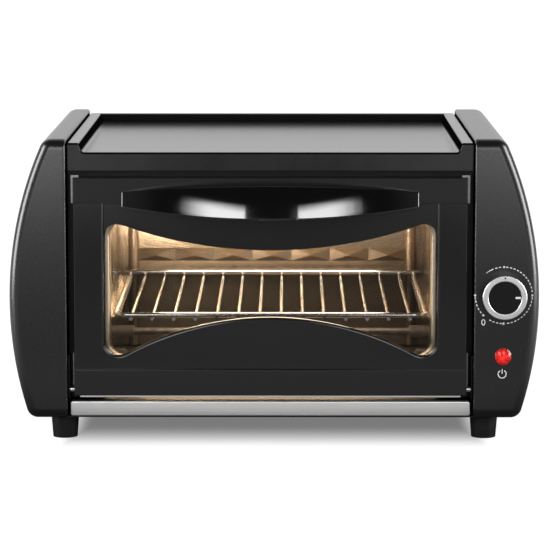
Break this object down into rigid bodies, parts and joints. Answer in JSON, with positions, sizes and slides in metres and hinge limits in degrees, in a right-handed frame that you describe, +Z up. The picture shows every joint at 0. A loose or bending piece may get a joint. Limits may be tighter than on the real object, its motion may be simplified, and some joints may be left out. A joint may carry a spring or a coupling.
{
  "type": "countertop pizza oven",
  "caption": "Countertop electric oven with bulged side cheeks, a drop-down glass door, a bowed handle, a timer knob, a wire rack, a crumb tray and a warming tray on top.",
  "frame": {"origin": "on the worktop, under the middle of the oven's bounding box", "axes": "+X to the right seen from the front, +Y to the back, +Z up; the door faces -Y"},
  "size_m": [0.454, 0.3474, 0.2615],
  "materials": {
    "satin_black": "satin moulded heat-resistant plastic",
    "painted_black": "satin black enamel on sheet steel",
    "mask_black": "gloss black enamel",
    "door_glass": "clear toughened glass",
    "handle_black": "glossy moulded plastic",
    "bare_steel": "bright sheet steel",
    "cavity_steel": "aluminised sheet, warmed by heat",
    "chrome_wire": "chromed wire",
    "tray_aluminium": "satin aluminium sheet",
    "ceramic_white": "glazed ceramic",
    "screw_steel": "zinc plated",
    "element_sheath": "oxidised heating tube",
    "knob_black": "semi-gloss moulded plastic",
    "knob_silver": "satin silver ring",
    "mark_white": "white filled mark",
    "switch_plastic": "moulded plastic",
    "lamp_red": "translucent red faceted lens",
    "foot_black": "moulded plastic",
    "wire_sleeve": "glass-braid sleeve"
  },
  "bodies": {
    "oven": {"back_panel": "painted_black", "back_screws": "screw_steel", "base_plate": "painted_black", "cavity_back_wall": "cavity_steel", "cavity_roof": "cavity_steel", "cheek_screws": "screw_steel", "element_bushings": "ceramic_white", "foot_screws": "screw_steel", "front_frame": "painted_black", "internal_wiring": "wire_sleeve", "left_cavity_wall": "cavity_steel", "left_chassis_side": "painted_black", "left_cheek": "satin_black", "left_front_foot": "foot_black", "left_rack_runner": "cavity_steel", "left_rear_foot": "foot_black", "lower_front_element": "element_sheath", "lower_rear_element": "element_sheath", "mains_gland": "switch_plastic", "mouth_trim": "bare_steel", "pilot_lamp": "switch_plastic", "pilot_lens": "lamp_red", "right_cavity_wall": "cavity_steel", "right_chassis_side": "painted_black", "right_cheek": "satin_black", "right_front_foot": "foot_black", "right_rack_runner": "cavity_steel", "right_rear_foot": "foot_black", "terminal_block": "ceramic_white", "thermostat": "ceramic_white", "timer_switch": "switch_plastic", "top_panel": "painted_black", "upper_front_element": "element_sheath", "upper_rear_element": "element_sheath"},
    "door": {"door_panel": "painted_black", "door_top_rail": "painted_black", "door_bottom_rail": "painted_black", "window_mask": "mask_black", "door_glass": "door_glass", "upper_glass_retainer": "bare_steel", "lower_glass_retainer": "bare_steel", "door_handle": "handle_black", "door_hem": "tray_aluminium", "handle_screws": "screw_steel", "left_hinge_pin": "screw_steel", "right_hinge_pin": "screw_steel"},
    "knob": {"timer_knob": "knob_black", "knob_ring": "knob_silver", "knob_pointer": "mark_white", "timer_shaft": "screw_steel"},
    "rack": {"wire_rack": "chrome_wire"},
    "crumb_tray": {"crumb_tray": "tray_aluminium"}
  },
  "joints": [
    {"name": "door_hinge", "type": "hinge", "parent": "oven", "child": "door", "pos_m": [-0.0033, -0.13745, 0.0452], "axis": [1, 0, 0], "range_deg": [0, 90]},
    {"name": "knob_turn", "type": "hinge", "parent": "oven", "child": "knob", "pos_m": [0.196, -0.15, 0.1282], "axis": [0, 1, 0], "range_deg": [-225, 119]},
    {"name": "rack_slide", "type": "slide", "parent": "oven", "child": "rack", "axis": [0, -1, 0], "range_m": [0, 0.09]},
    {"name": "crumb_tray_slide", "type": "slide", "parent": "oven", "child": "crumb_tray", "axis": [0, -1, 0], "range_m": [0, 0.13]}
  ],
  "couplings": [
    {"joint": "rack_slide", "follows": "door_hinge", "m_per_rad": 0.055}
  ]
}
